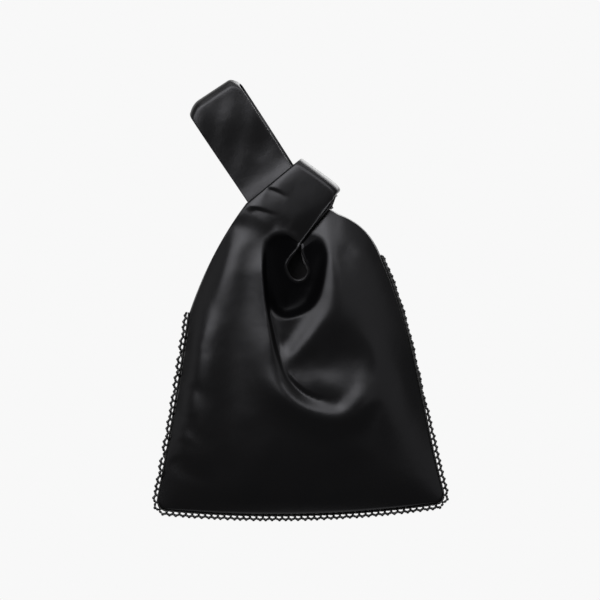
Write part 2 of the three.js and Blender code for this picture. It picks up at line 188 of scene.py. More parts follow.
band_top_left = knot_point(-24.5, -2.0)
band_top_right = knot_point(32.5, 4.0)
band_side = knot_point(44.5, -30.0)
band_low = knot_point(31.0, -42.0)
band_low_side = knot_point(39.0, -36.0)
mouth_top = knot_point(-6.0, -53.0)
shoulder_turn = knot_point(32.5, -49.5)
right_end_in = knot_point(-10.0, -44.0)
right_end_out = knot_point(26.5, -37.0)
left_shoulder = bowed(band_top_left, LEFT_TOP, 4.0)
right_shoulder = bowed(RIGHT_TOP, shoulder_turn, 5.5)
back_wrap = spline([band_low, band_low_side, band_side, band_top_right])
FRONT_STARTS = 1 / 3


def front_wrap(shares):
    """The front half of the band starts a little higher on the wrap than the back half does."""
    return back_wrap(mix(FRONT_STARTS, 1, np.asarray(shares)))


def mouth_edge(width, height):
    """The edge of the mouth, a drop that hangs from its top and comes back nearly to it."""
    left = [[0, 0], [-0.13, 0.14], [-0.45, 0.33], [-0.67, 0.54], [-0.63, 0.75], [-0.44, 0.92]]
    right = [[-0.15, 1], [0.17, 0.94], [0.36, 0.76], [0.33, 0.56], [0.15, 0.37], [0, 0.22]]
    return spline(mouth_top + np.array(left + right) * [width, -height])


print("the outline is", RIGHT_CORNER[0] - LEFT_CORNER[0], "mm wide at the bottom")

# %% [markdown]
# A panel is one sheet. Its columns start at the wrap, run along the band, then turn round the mouth like
# spokes, over the left shoulder, the left seam, the bottom and the right seam, and end under the band.
# Each column starts with a rolled hem at the mouth and ends at the outer edge. A flat grid cut along the
# outline would have ragged edges. Spokes follow the mouth and the seams by themselves.

# %% Panel plan
HEM = 0.9
HEM_TURN = np.radians(np.linspace(-70, 150, 8))
BODY_ROWS = 104
ROW_CROWDING = 0.25
BAND_COLUMNS = 54
BAND_CROWDING = 0.35
# Each stretch round the mouth: its outer line, the share of the mouth's edge where it ends, and its columns
ROUND_MOUTH = [
    (left_shoulder, 0.30, 34),
    (left_seam, 0.48, 42),
    (left_turn, 0.53, 12),
    (bottom_seam, 0.74, 84),
    (right_turn, 0.79, 12),
    (right_seam, 1.00, 66),
]
SHOULDER_COLUMNS = 34
END_COLUMNS = 8
MOUTH_CLOSE = 0.75

even = np.linspace(0, 1, BODY_ROWS)
body_shares = (1 - ROW_CROWDING) * even + ROW_CROWDING * (0.5 - 0.5 * np.cos(np.pi * even))


def steps(count):
    return np.arange(1, count + 1) / count


def plan_panel(edge, wrap):
    """Where the spokes of a panel start and end, and which stretch each one belongs to."""
    band = np.arange(BAND_COLUMNS) / BAND_COLUMNS
    band = np.r_[BAND_CROWDING * band**2 + (1 - BAND_CROWDING) * band, 1.0]
    inner = [mix(wrap([0.0]), mouth_top, band[:, None])]
    outer = [mix(wrap([1.0]), band_top_left, band[:, None])]
    reached = 0.0
    for line, share, count in ROUND_MOUTH:
        inner.append(edge(mix(reached, share, steps(count))))
        outer.append(line(steps(count)))
        reached = share
    mouth_end = edge(np.array([1.0]))[0]
    under_band = mix(mouth_end, mouth_top, MOUTH_CLOSE)
    inner.append(mix(mouth_end, under_band, steps(SHOULDER_COLUMNS)[:, None]))
    outer.append(right_shoulder(steps(SHOULDER_COLUMNS)))
    inner.append(mix(under_band, right_end_in, steps(END_COLUMNS)[:, None]))
    outer.append(mix(shoulder_turn, right_end_out, steps(END_COLUMNS)[:, None]))
    counts = [len(part) for part in inner]
    stretch = np.repeat(np.arange(len(counts)), counts)
    share = np.concatenate([band] + [steps(c) for c in counts[1:]])
    return np.vstack(inner), np.vstack(outer), stretch, share


print("a panel's columns go along the band and then over", len(ROUND_MOUTH) + 2, "more stretches")

# %% [markdown]
# The spokes give the panel's points in the front view. On the band the columns follow the curve of the
# wrap instead. Each point keeps what later steps ask for: its stretch, and how far it is from the mouth
# and from the outer edge. The front mouth is open as a drop. The back mouth is drawn nearly shut.

# %% Panel layout
# The stretches that are treated apart, by their number in a plan
BAND, LEFT_SHOULDER, RIGHT_SEAM, RIGHT_SHOULDER, RIGHT_END = 0, 1, 6, 7, 8
WRAP_ROOM = 9.0
WRAP_POWER = 2.4
# The width and the height of the mouth, in front and behind
FRONT_MOUTH = (16.0, 28.5)
BACK_MOUTH = (1.7, 4.8)


def lay_out(edge, wrap):
    """The points of a panel in the front view, and how far they are from the mouth and the edge."""
    inner, outer, stretch, share = plan_panel(edge, wrap)
    length = np.linalg.norm(outer - inner, axis=1)[:, None]
    roll = HEM * (1 - np.cos(HEM_TURN))
    hem = np.repeat(roll[None], len(inner), 0)
    body = roll[-1] + (length - roll[-1]) * body_shares[1:]
    from_mouth = np.hstack([hem, body])
    row = from_mouth / length
    flat = inner[:, None] + row[..., None] * (outer - inner)[:, None]
    on_band = stretch == BAND
    wraps = wrap(row[on_band])
    ends = mouth_top + row[on_band][..., None] * (band_top_left - mouth_top)
    along_band = share[on_band][:, None, None]
    flat[on_band] = mix(wraps, ends, along_band)
    run = (share[on_band][:, None]) * np.linalg.norm(ends - wraps, axis=2)
    wrap_round = np.ones(row.shape)
    wrap_round[on_band] = np.sqrt(1 - np.clip(1 - run / WRAP_ROOM, 0, 1) ** WRAP_POWER)
    return {
        "flat": flat,
        "row": row,
        "from_mouth": from_mouth,
        "from_edge": length - from_mouth,
        "stretch": np.repeat(stretch[:, None], row.shape[1], 1),
        "share": np.repeat(share[:, None], row.shape[1], 1),
        "wrap_round": wrap_round,
    }


front_plan = lay_out(mouth_edge(*FRONT_MOUTH), front_wrap)
back_plan = lay_out(mouth_edge(*BACK_MOUTH), back_wrap)
print("a panel has", front_plan["row"].shape, "columns and rows")

# %% [markdown]
# Draped cloth is told by its folds. Two kinds are drawn along lines: a fold, which is a soft ridge or
# valley with a width on either side, and a pleat, where the cloth on one side of the line lies over the
# cloth on the other. A simulation would find folds of its own. These are laid where the real ones lie.

# %% Folds
LINE_POINTS = 40


def nearest(flat, line):
    """Signed distance of each point from a line, to the right of its way, and the share along it."""
    way = np.diff(line, axis=0)
    long = np.linalg.norm(way, axis=1)
    start, way, long = line[:-1][long > 0], way[long > 0], long[long > 0]
    best = np.full(flat.shape[:-1], np.inf)
    side = np.zeros_like(best)
    share = np.zeros_like(best)
    for k in range(len(way)):
        gap = flat - start[k]
        t = np.clip((gap @ way[k]) / long[k] ** 2, 0, 1)
        off = gap - t[..., None] * way[k]
        distance = np.hypot(off[..., 0], off[..., 1])
        closer = distance < best
        cross = gap[..., 0] * way[k][1] - gap[..., 1] * way[k][0]
        best = np.where(closer, distance, best)
        side = np.where(closer, np.sign(cross), side)
        share = np.where(closer, (k + t) / len(way), share)
    return best * side, share


def fold(flat, points, height, left, right, start=0.12, end=0.12):
    """A ridge or valley along a spline: its height, and how far it reaches to the left and to the right."""
    side, share = nearest(flat, spline(points)(np.linspace(0, 1, LINE_POINTS)))
    width = np.where(side < 0, left, right)
    return height * ease(share / start) * ease((1 - share) / end) * np.exp(-((side / width) ** 2))


def pleat(flat, points, step, over, under, edge=1.2, start=0.1, end=0.5):
    """A brink where the cloth on the left of a line lies over that on its right. It fades away from it."""
    side, share = nearest(flat, spline(points)(np.linspace(0, 1, LINE_POINTS)))
    lasting = ease(share / start) * ease((1 - share) / end)
    upper = ease(0.5 - side / edge)
    lift = upper * np.exp(-np.abs(side) / over) - (1 - upper) * np.exp(-np.abs(side) / under)
    return step * lasting * lift


beside = fold(np.array([[5.0, 1.0]]), [(0, 0), (5, 0), (10, 0)], 2.0, 3, 3)
print("1 mm beside its line, a fold of 2 mm is", beside.round(2), "mm high")

# %% [markdown]
# The drape is drawn the way a pattern cutter sketches it: lines along the ridges, valleys and edges, with
# the height of the cloth at each of their points. Between the lines the sheet takes the shape of a
# springy plate that is held there, which a cubic spline over the plane gives. It has no creases of its
# own, so the sheen runs smoothly over it.

# %% Drape
LINE_STEP = 6.0
PLATE_SCALE = 100.0
SOFTNESS = 1e-5


def held_points(line):
    """Points every few millimetres along a ridge, valley or edge, or a short list as it is."""
    line = np.asarray(line, float)
    if len(line) < 3:
        return line
    length = np.linalg.norm(np.diff(line, axis=0), axis=1).sum()
    return spline(line)(np.linspace(0, 1, max(len(line), round(length / LINE_STEP))))


def drape(lines):
    """The height of a springy sheet that is held along lines of (x, z, height)."""
    held = np.vstack([held_points(line) for line in lines])
    places = held[:, :2] / PLATE_SCALE
    count = len(held)
    apart = np.linalg.norm(places[:, None] - places[None], axis=-1)
    plane = np.c_[np.ones(count), places]
    system = np.block([[apart**3 + SOFTNESS * np.eye(count), plane], [plane.T, np.zeros((3, 3))]])
    pulls = np.linalg.solve(system, np.r_[held[:, 2], 0, 0, 0])

    def height(flat):
        spot = flat / PLATE_SCALE
        result = pulls[count] + spot @ pulls[count + 1:]
        for place, pull in zip(places, pulls):
            result += pull * np.linalg.norm(spot - place, axis=-1) ** 3
        return result

    return height


held_corners = [[(0, 0, 0)], [(60, 0, 0)], [(0, 60, 0)], [(60, 60, 8)]]
between = drape(held_corners)(np.array([30.0, 30.0]))
print("between four held corners the sheet is", between.round(1), "mm high")

# %% [markdown]
# The drape knows nothing of its neighbours. These helpers bring it down to the seams, tuck the right
# shoulder under the band, and let the left shoulder grow out of the band's end. They could be more lines
# of the drape, but a seam has to be met exactly, all round.

# %% Edges of the drape
# The cloth turns down to its edge over this length. The edge's distance from the middle, at band and seam
EDGE_REACH = 1.6
BAND_EDGE = 13.2
SEAM_EDGE = 0.2
# The right shoulder is tucked this far under the band, clear of the loop, and rises over this length
UNDER_BAND = 5.0
CLEAR_OF_LOOP = 1.0
OUT_OF_BAND = 13.0
# A point on the lower edge of the band, across and along the long loop, and how the edge climbs from there
BAND_HEM = (38.0, -35.6)
BAND_HEM_SLOPE = 0.3946
SHOULDER_JOIN = 0.25


def edge_height(plan):
    """How far the outer edge stands from the middle: at a seam, along the shoulders, and at the band."""
    stretch, share = plan["stretch"], plan["share"]
    height = np.full(stretch.shape, SEAM_EDGE)
    height = np.where(stretch == BAND, BAND_EDGE, height)
    height = np.where(stretch == LEFT_SHOULDER, mix(BAND_EDGE, SEAM_EDGE, ease(share)), height)
    height = np.where(stretch == RIGHT_SHOULDER, mix(SEAM_EDGE, LOOP_HALF, ease(share)), height)
    return np.where(stretch == RIGHT_END, LOOP_HALF, height)


def meet_edge(plan, height):
    """The last few millimetres turn down to the edge."""
    low = edge_height(plan)
    return mix(low, height, np.sin(np.pi / 2 * np.clip(plan["from_edge"] / EDGE_REACH, 0, 1)))


def tuck_under_band(plan, height):
    """The right shoulder comes out from under the band, and rises to the height that it has below."""
    across, along = (plan["flat"] - KNOT) @ ACROSS, (plan["flat"] - KNOT) @ ALONG
    band_edge = BAND_HEM[1] + BAND_HEM_SLOPE * (across - BAND_HEM[0])
    hidden = np.exp(-np.clip(band_edge - along + UNDER_BAND, 0, None) / OUT_OF_BAND)
    tucked = np.where(plan["stretch"] == RIGHT_SEAM, ease(plan["share"]), plan["stretch"] > RIGHT_SEAM)
    return mix(height, LOOP_HALF + CLEAR_OF_LOOP, hidden * tucked)


def join_band(plan, height, band):
    """The band takes its own height, and the left shoulder grows out of its end."""
    to_band = np.where(plan["stretch"] == LEFT_SHOULDER, 1 - ease(plan["share"] / SHOULDER_JOIN), 0.0)
    return mix(height, band, np.where(plan["stretch"] == BAND, 1.0, to_band))


front_edge = edge_height(front_plan)
print("the outer edge stands", front_edge.min().round(1), "to", front_edge.max(), "mm from the middle")

# %% [markdown]
# The front, first part: its edges, and the long fold that the knot draws out of the left shoulder. It
# comes down beside the mouth as a brink, swings below it and climbs again on the right. A flank on its
# outer side keeps it round, and the inner slope falls to the valley in which a second fold curls. Each
# point is its place on the bag and its height.

# %% Edges and long fold
EDGES = [
    [
        (-44, 249, 14), (-60, 226, 9), (-75, 199, 4), (-89, 163, 1.8), (-97, 120, 1.6), (-106, 65, 1.5),
        (-115, 8, 1.2),
    ],
    [(-106, 0, 1), (-50, -3, 1), (0, -4, 1), (55, -2, 1), (106, 4, 1)],
    [
        (113, 16, 1.2), (102, 62, 1.5), (91, 110, 1.6), (83, 150, 1.8), (73, 182, 2.2), (60, 210, 4.2),
        (46, 226, 7.5),
    ],
]
LEFT_BRINK = [
    (-30, 214, 16.6), (-30, 200, 17.6), (-29, 183, 18.5), (-27.5, 165, 19.4), (-24, 147, 20.8),
    (-20.5, 132, 22.6),
]
LOW_FOLD = [
    (-18.5, 119, 24.7), (-14.5, 107.5, 26.6), (-6, 96, 28), (8, 86.5, 28.5), (26, 80, 28.4), (40, 82, 27.6),
    (52, 91, 25.7), (58, 105, 22.5),
]
LEFT_FLANK = [
    (-44, 216, 16.2), (-45, 192, 17.2), (-44, 167, 17.9), (-41, 145, 19.5), (-36, 122, 22.3),
    (-29, 102, 24.9), (-17, 87, 26.2), (3, 74, 26), (26, 67, 24.4), (48, 72, 22.1), (63, 90, 19.9),
]
INNER_SLOPE = [
    (-11.5, 120, 22.8), (-9, 110.5, 23.3), (-4, 102.5, 23.8), (4, 95.5, 24.4), (16, 91, 25), (28, 89.5, 25.2),
]
CURL = [(-7, 111, 22.6), (2, 103.5, 23.5), (13, 98.5, 24.4), (27, 97.5, 24.7), (41, 102.5, 24.1)]
print("the long fold is highest at", max(LOW_FOLD, key=lambda point: point[2]))

# %% [markdown]
# The front, second part: the shorter fold on the right of the mouth, which runs down to the left, the
# hollow that it leaves on its other side, the tongue of cloth between it and the long fold, and the end
# of the band above. All lines hold one surface, because strips of their own would have to be joined.

# %% Right fold, hollow and tongue
RIGHT_FOLD = [
    (21, 215, 18.6), (23, 200, 21.2), (23, 184, 22.7), (18.5, 167.5, 23.2), (10.3, 152.5, 23.4),
    (2, 140, 23.3), (-5.5, 129, 22.9),
]
RIGHT_FLANK = [
    (16.5, 208, 18.3), (16.6, 185, 20.6), (12.6, 170, 20.8), (5, 156, 20.7), (-3.3, 143.7, 20.6),
    (-10.5, 133, 20.8),
]
HOLLOW = [
    (6, 125, 21.6), (18, 118, 20.9), (33, 118, 20.6), (46, 126, 20.3), (44, 143, 21.3), (29, 147, 22.2),
    (16, 138, 22.5),
]
TONGUE = [
    (-8, 205, 17.5), (-6, 190, 18.5), (-6, 176, 19.3), (-9, 163, 19.5), (-13, 150, 19.6), (-15, 138, 19.8),
]
BAND_END = [(-37, 243, 13.5), (-29, 236, 14.8), (-21, 232, 15)]
print("the right fold drops", RIGHT_FOLD[0][1] - RIGHT_FOLD[-1][1], "mm")

# %% [markdown]
# The front, third part: the body round the folds. High up the bag is narrow and slopes towards the light.
# Low down it is wide, and falls back to the bottom seam.

# %% Body of the front
LEFT_BODY = [
    [(-58, 212, 14), (-62, 192, 15.8), (-64, 172, 16.8)],
    [(-60, 150, 17.6), (-60, 120, 17.4), (-58, 92, 17), (-56, 62, 15.6), (-54, 38, 13)],
    [(-84, 143, 12.2), (-89, 115, 11.8), (-93, 85, 11.2), (-97, 55, 9.6), (-99, 28, 7)],
]
LOWER_BODY = [
    [(-40, 78, 19.6), (-22, 64, 20.6), (10, 58, 21.6), (40, 55, 20.4)],
    [(-30, 46, 18), (10, 42, 18), (45, 41, 16.6)],
    [(-30, 26, 13.8), (0, 25, 13.8), (40, 25, 13)],
    [(-60, 12, 8), (-20, 9, 8.5), (20, 9, 8.5), (60, 12, 8)],
]
RIGHT_BODY = [
    [
        (32, 208, 17.5), (36, 189, 20), (42, 168, 20.6), (50, 150, 20), (57, 132, 19.8), (62, 115, 19.8),
        (66, 98, 19), (68, 75, 17.5), (67, 50, 15),
    ],
    [
        (48, 207, 13), (55, 186, 13.3), (62, 164, 13.3), (70, 138, 13), (77, 110, 12.8), (83, 82, 11.8),
        (88, 52, 9.8), (92, 30, 7.5),
    ],
]
FRONT_LINES = [
    *EDGES, LEFT_BRINK, LOW_FOLD, LEFT_FLANK, INNER_SLOPE, CURL, RIGHT_FOLD, RIGHT_FLANK, HOLLOW,
    TONGUE, BAND_END, *LEFT_BODY, *LOWER_BODY, *RIGHT_BODY,
]
print("the front is held along", len(FRONT_LINES), "lines")

# %% [markdown]
# The drape alone is too smooth where cloth is pinched. Pleats sharpen the brink beside the mouth and the
# lip of the second fold, a groove lies between them, the left seam puckers, and soft dents run in from
# it. Two short creases run into the band, and the left shoulder arches over the cave below it. More lines
# of the drape could do this only if they lay very close.

# %% Creases of the front
BRINK_STEP = 4.0
GROOVE_DEPTH = 1.3
LIP_STEP = 1.5
PUCKER_STEP = 0.5
ARCH_RISE = 0.6
ARCH_DIP = 0.5
BAND_STEP = 1.0
BRINK_LINE = [
    (-12, 108), (-16, 120), (-20.5, 134), (-23.5, 147), (-27, 165), (-29, 183), (-30, 200), (-29, 222),
]
GROOVE = [(-23.5, 150), (-20, 136), (-16, 122), (-11, 112), (-4, 104), (5, 98.5)]
LIP_LINE = [(-13, 115), (-5, 105.5), (4, 98.7), (14, 95), (27, 93.5)]
ARCH = [(-30, 218), (-24, 223.5), (-16, 225.5), (-8, 223.5), (-3, 219)]
ARCH_DENT = [(-27, 231), (-17, 233), (-8, 230)]
SEAM_PUCKERS = [
    [(-94, 138), (-84, 133), (-70, 131)],
    [(-98, 102), (-86, 104), (-74, 98)],
    [(-102, 86), (-92, 80), (-78, 82)],
    [(-106, 60), (-92, 60), (-76, 52)],
    [(-109, 40), (-98, 46), (-84, 44)],
]
# Each dent: its depth and its line
LEFT_DENTS = [
    (0.3, [(-84, 188), (-72, 170), (-58, 154)]),
    (0.4, [(-92, 154), (-78, 138), (-64, 126)]),
    (0.7, [(-98, 120), (-84, 102), (-70, 84)]),
    (0.9, [(-103, 86), (-88, 68), (-70, 52)]),
    (0.9, [(-109, 52), (-92, 36), (-64, 24)]),
]
BAND_CREASES = [
    [(-29, 262), (-20, 259), (-10, 253)],
    [(-47, 246), (-33, 244), (-17, 238.5)],
]


def crease(flat, height):
    """The creases that lie in the body of the front."""
    height += pleat(flat, BRINK_LINE, BRINK_STEP, over=12, under=7, edge=4, start=0.45, end=0.2)
    height += fold(flat, GROOVE, -GROOVE_DEPTH, left=2.6, right=2.6, start=0.35, end=0.45)
    height += pleat(flat, LIP_LINE, LIP_STEP, over=10, under=4, edge=2.2, start=0.2, end=0.6)
    for line in SEAM_PUCKERS:
        height += pleat(flat, line, PUCKER_STEP, over=8, under=6, edge=5, start=0.3, end=0.7)
    for depth, line in LEFT_DENTS:
        height += fold(flat, line, -depth, left=8, right=6, start=0.3, end=0.4)
    return height


def crease_band(flat, height):
    """The arch over the mouth, and the creases of the band."""
    arch = fold(flat, ARCH, ARCH_RISE, left=3, right=3, start=0.3, end=0.3)
    height += arch + fold(flat, ARCH_DENT, -ARCH_DIP, left=5, right=5, start=0.3, end=0.3)
    for line in BAND_CREASES:
        height += pleat(flat, line, BAND_STEP, over=10, under=6, edge=3, start=0.35, end=0.6)
    return height


print("the left seam has", len(SEAM_PUCKERS), "puckers and", len(LEFT_DENTS), "dents")

# %% [markdown]
# The band is the short loop, drawn tight over the long one. Seen along it, it is crowned: it climbs from
# its lower edge to a ridge, stays nearly flat, and drops at the upper edge. A strap swept along a line
# could do that too, but the band is one piece with the panel, so it is a height over the same sheet.

# %% Band over the knot
BAND_CROWN = 17.8
BAND_RIDGE = 0.45
# The lower edge stands this high at the wrap and at the mouth, and sinks from one to the other after a share
BAND_LOW = (17.0, 12.5)
BAND_SINKS = 0.3
# How far beyond the ridge the band would reach the edge's height, and how square it drops there
BAND_FALL = 0.56
BAND_SQUARE = 0.38


def band_height(plan):
    """The band stands proud over the long loop, and its lower edge sinks to the mouth."""
    row, share = plan["row"], np.where(plan["stretch"] == BAND, plan["share"], 1.0)
    low = mix(*BAND_LOW, ease((share - BAND_SINKS) / (1 - BAND_SINKS)))
    up = np.sin(np.pi / 2 * np.clip(row / BAND_RIDGE, 0, 1))
    past_ridge = np.clip(row - BAND_RIDGE, 0, 1) / BAND_FALL
    down = np.clip(1 - past_ridge**2, 0, 1) ** BAND_SQUARE
    return np.where(row < BAND_RIDGE, mix(low, BAND_CROWN, up), mix(BAND_EDGE, BAND_CROWN, down))


print("the band stands", BAND_CROWN, "mm out")

# %% [markdown]
# Under the knot the cloth caves in, with the mouth in the middle. The cave is almost black, because
# little light gets in and out of it, and painted shade darkens it further. A rim says where it is. Inside
# it the cloth falls to a floor that is deepest at its lower end, and each point gets a value, its painted
# shade, that the satin's finish reads later and turns into a dull black. A deeper cave would darken by
# itself, but it would push into the back of the bag.

# %% Cave under the knot
CAVE_RIM = [
    (-28.5, 208), (-28.5, 190), (-27, 174), (-22.5, 164), (-14, 159), (-3, 161), (8, 168), (14.5, 180),
    (17.5, 196), (18.5, 209), (15, 219), (8, 222.5), (-1, 222.5), (-10, 222), (-21, 221.5), (-27, 216),
    (-28.5, 208),
]
RIM_POINTS = 120
CAVE_BRINK = 0.6
# The floor: where its foot is, how high it is there, and how it leans
CAVE_FOOT = 158.0
CAVE_DEPTH = 3.0
CAVE_LEAN = 0.17
# The wall: how soft it is at the foot and above, and over which rise that changes
CAVE_WALL = (2.5, 5.5)
CAVE_WALL_RISE = 22
# The painted shade fades over this length, and ends this many such lengths beyond the rim
SHADE_FADE = 4
SHADE_REACH = 1.1


def sink(plan, height):
    """Inside the rim the cloth falls to the floor of the cave. Also gives each point its painted shade."""
    side, _ = nearest(plan["flat"], spline(CAVE_RIM)(np.linspace(0, 1, RIM_POINTS)))
    off_band = plan["stretch"] != BAND
    inside = CAVE_BRINK * np.logaddexp(0, -side / CAVE_BRINK)
    up = plan["flat"][..., 1] - CAVE_FOOT
    floor = CAVE_DEPTH + CAVE_LEAN * np.clip(up, 0, None)
    wall = mix(*CAVE_WALL, ease(up / CAVE_WALL_RISE))
    sunk = (1 - np.exp(-inside / wall)) * off_band
    # Painted shade: full inside the rim and fading out just beyond it, but not on the hem or the band
    shade = ease(SHADE_REACH - side / SHADE_FADE) * ease(plan["from_mouth"] - 2 * HEM) * off_band
    return mix(height, np.minimum(height, floor), sunk), shade


def front_height(plan):
    """The height of the front at each point of its plan, and its shade."""
    flat = plan["flat"]
    height = crease(flat, drape(FRONT_LINES)(flat))
    height = tuck_under_band(plan, meet_edge(plan, height))
    height = crease_band(flat, join_band(plan, height, band_height(plan)))
    return sink(plan, height)


front_heights, front_painted_shade = front_height(front_plan)
print("the front stands out", front_heights.max().round(1), "mm")

# %% [markdown]
# Helpers that turn a plan into a mesh. A sheet starts as a grid, and each of its points is moved to its
# place. A sleeve is a grid whose sides are joined, with its ends closed. A plane bent by modifiers would
# do for a simple fold, but its points would not lie exactly on the seams.

# %% Mesh helpers
WELD = 1e-7


def add_object(name, bm):
    mesh = bpy.data.meshes.new(name)
    bm.to_mesh(mesh)
    bm.free()
    mesh.polygons.foreach_set("use_smooth", [True] * len(mesh.polygons))
    piece = bpy.data.objects.new(name, mesh)
    bpy.context.collection.objects.link(piece)
    print(name, "has", len(mesh.polygons), "faces")
    return piece


def grid_of(points):
    """A grid of faces with its points, in metres, from an array of columns and rows."""
    columns, rows = points.shape[:2]
    bm = bmesh.new()
    bmesh.ops.create_grid(bm, x_segments=columns - 1, y_segments=rows - 1, size=1)
    for vert in bm.verts:
        i = round((vert.co.x + 1) / 2 * (columns - 1))
        j = round((vert.co.y + 1) / 2 * (rows - 1))
        vert.co = points[i, j]
    bm.normal_update()
    return bm


def sheet(name, points, outward, thickness):
    """A sheet of cloth whose outer face looks the given way, and which is as thick as it says."""
    bm = grid_of(points)
    facing = sum((f.normal * f.calc_area() for f in bm.faces), Vector())
    if facing.dot(Vector(outward)) < 0:
        bmesh.ops.reverse_faces(bm, faces=bm.faces)
    piece = add_object(name, bm)
    solid = piece.modifiers.new("thickness", "SOLIDIFY")
    solid.thickness = thickness
    solid.offset = -1
    return piece


def paint(piece, name, values):
    """Keeps a value for each point of a grid with the mesh, for its finish."""
    layer = piece.data.attributes.new(name, "FLOAT", "POINT")
    layer.data.foreach_set("value", np.ascontiguousarray(values.T, dtype=np.float32).ravel())


def sleeve(name, sections):
    """A closed skin over a row of closed sections."""
    around = np.concatenate([sections, sections[:, :1]], axis=1)
    bm = grid_of(around)
    bmesh.ops.remove_doubles(bm, verts=bm.verts, dist=WELD)
    bmesh.ops.holes_fill(bm, edges=[e for e in bm.edges if e.is_boundary], sides=0)
    bmesh.ops.recalc_face_normals(bm, faces=bm.faces)
    return add_object(name, bm)


# %% [markdown]
# The satin of the front. At the mouth the hem is rolled round a small radius, and at the outer edge the
# cloth turns in a little, so that no edge is a knife edge. A bevel could round the edges, but it would
# cut into the grid, so the points are moved instead. The lining lies close behind, with half as many
# columns and rows.

# %% Front satin
SATIN = 1.2
LINING = 0.8
LINING_BEHIND = 2.4
EDGE_ROUND = 1.5
HEM_FADE = 2
# No cloth comes nearer to the middle plane of the bag than this
MIDDLE_GAP = 0.2
TINY = 1e-9
FRONT = -1
BACK = 1


def panel_points(plan, heights, side):
    """The points of a panel, with its hem and edge rounded, on the front or the back of the bag."""
    roll = np.zeros(heights.shape)
    count = len(HEM_TURN)
    roll[:, :count] = HEM * np.sin(HEM_TURN)
    past_hem = plan["from_mouth"][:, count:] - 2 * HEM
    roll[:, count:] = HEM * math.sin(HEM_TURN[-1]) * np.exp(-past_hem / HEM_FADE)
    turned = EDGE_ROUND - np.clip(plan["from_edge"], 0, EDGE_ROUND)
    tuck = EDGE_ROUND - np.sqrt(EDGE_ROUND**2 - turned**2)
    depth = np.clip((heights + roll - tuck) * plan["wrap_round"], MIDDLE_GAP, None)
    return np.stack([plan["flat"][..., 0], side * depth, plan["flat"][..., 1]], axis=-1)


def behind(points, distance, side):
    """The same sheet moved inwards along its normals, and kept on its own side of the bag."""
    run = np.gradient(points, axis=0)
    rise = np.gradient(points, axis=1)
    normal = np.cross(rise, run)
    normal /= np.linalg.norm(normal, axis=-1, keepdims=True) + TINY
    normal *= np.where(normal[..., 1:2].mean() * side < 0, -1, 1)
    moved = points - normal * distance
    moved[..., 1] = side * np.clip(side * moved[..., 1], MIDDLE_GAP, None)
    return moved


front_points = panel_points(front_plan, front_heights, FRONT)
bag_front = sheet("bag_front", placed(front_points), (0, FRONT, 0), SATIN * METRES)
# The painted shade of the cave is kept with the front's mesh
paint(bag_front, "shade", front_painted_shade)
first_row = len(HEM_TURN) - 2
front_inside = behind(front_points, LINING_BEHIND, FRONT)[::2, first_row::2]
lining_front = sheet("lining_front", placed(front_inside), (0, FRONT, 0), LINING * METRES)

# %% [markdown]
# The back isn't seen in the photograph. It is laid nearly flat, with a small dimple where its mouth is
# drawn shut and a few long folds that fan out below the knot. It could be a copy of the front, but the
# folds of a front don't come through to the back. So it has lines of its own, on the same edges.

# %% Back panel
BACK_BODY = [
    [(-60, 200, 11), (-66, 160, 13), (-72, 110, 13), (-74, 60, 11), (-72, 25, 7.5)],
    [(-30, 232, 14.5), (-34, 200, 15.5), (-40, 150, 15), (-42, 100, 15), (-42, 55, 12.5), (-42, 22, 8.5)],
    [(-4, 185, 14), (-2, 150, 14.5), (0, 100, 15), (0, 55, 12.5), (0, 20, 8.5)],
    [(26, 205, 13.5), (30, 180, 15.5), (36, 140, 15), (42, 95, 15), (44, 50, 12), (46, 22, 8)],
    [(50, 190, 12), (60, 150, 13), (70, 105, 12.5), (78, 60, 10.5), (80, 28, 7)],
    [(-6, 212, 9.5), (-1, 207, 9.5), (4, 212, 9.5)],
]
BACK_FOLDS = [
    [(-12, 204), (-30, 172), (-44, 132), (-52, 96)],
    [(-2, 200), (-4, 160), (0, 118), (6, 84)],
    [(10, 204), (26, 172), (42, 138), (56, 112)],
]
BACK_FOLD = 2.0
BACK_FOLD_WIDTH = 9
BACK_BAND = 0.86


def back_height(plan):
    """The height of the back at each point of its plan."""
    height = drape([*EDGES, *BACK_BODY])(plan["flat"])
    for line in BACK_FOLDS:
        height += fold(plan["flat"], line, BACK_FOLD, BACK_FOLD_WIDTH, BACK_FOLD_WIDTH, start=0.3, end=0.5)
    height = tuck_under_band(plan, meet_edge(plan, height))
    return join_band(plan, height, BACK_BAND * band_height(plan))


back_points = panel_points(back_plan, back_height(back_plan), BACK)
bag_back = sheet("bag_back", placed(back_points), (0, BACK, 0), SATIN * METRES)
back_inside = behind(back_points, LINING_BEHIND, BACK)[::2, first_row::2]
lining_back = sheet("lining_back", placed(back_inside), (0, BACK, 0), LINING * METRES)

# %% [markdown]
# The long loop is a strap that goes up in front, turns over and comes down behind. Before it is made, two
# helpers say how it differs from a plain ribbon: its top corners are rounded, it swells just above the
# knot, it leans out towards its top, and it is softly rumpled. Waves are enough for that, because the
# rumples are far smaller than the folds of the bag.

# %% Shape of the strap
LOOP_WIDTH = 46.6
TOP_RISE = 0.6
# The rounded corners: where each starts across the strap, how wide it is and how far it drops
LEFT_TOP_CORNER = (-11, 12.5, 6.0)
RIGHT_TOP_CORNER = (17, 7, 8.0)
# The swell: its height, its place along the loop and its length
KNOT_SWELL = 2.7
SWELL_AT = -5
SWELL_LENGTH = 11.5
# The lean: how far out it goes in the end, from where and over which length
LEAN_OUT = 2.4
LEAN_FROM = 22
LEAN_LENGTH = 45
# The left edge leans out more than the middle, by this much at this distance from it
LEAN_LEFT = 0.7
LEAN_HALF = 24
# Above the knot the lean sets in over this length
LEAN_RISE = 20
# The heights of three waves, from where they set in and over which length
RUMPLES = (0.35, 0.22, 0.2)
RUMPLE_FROM = 8
RUMPLE_RISE = 25


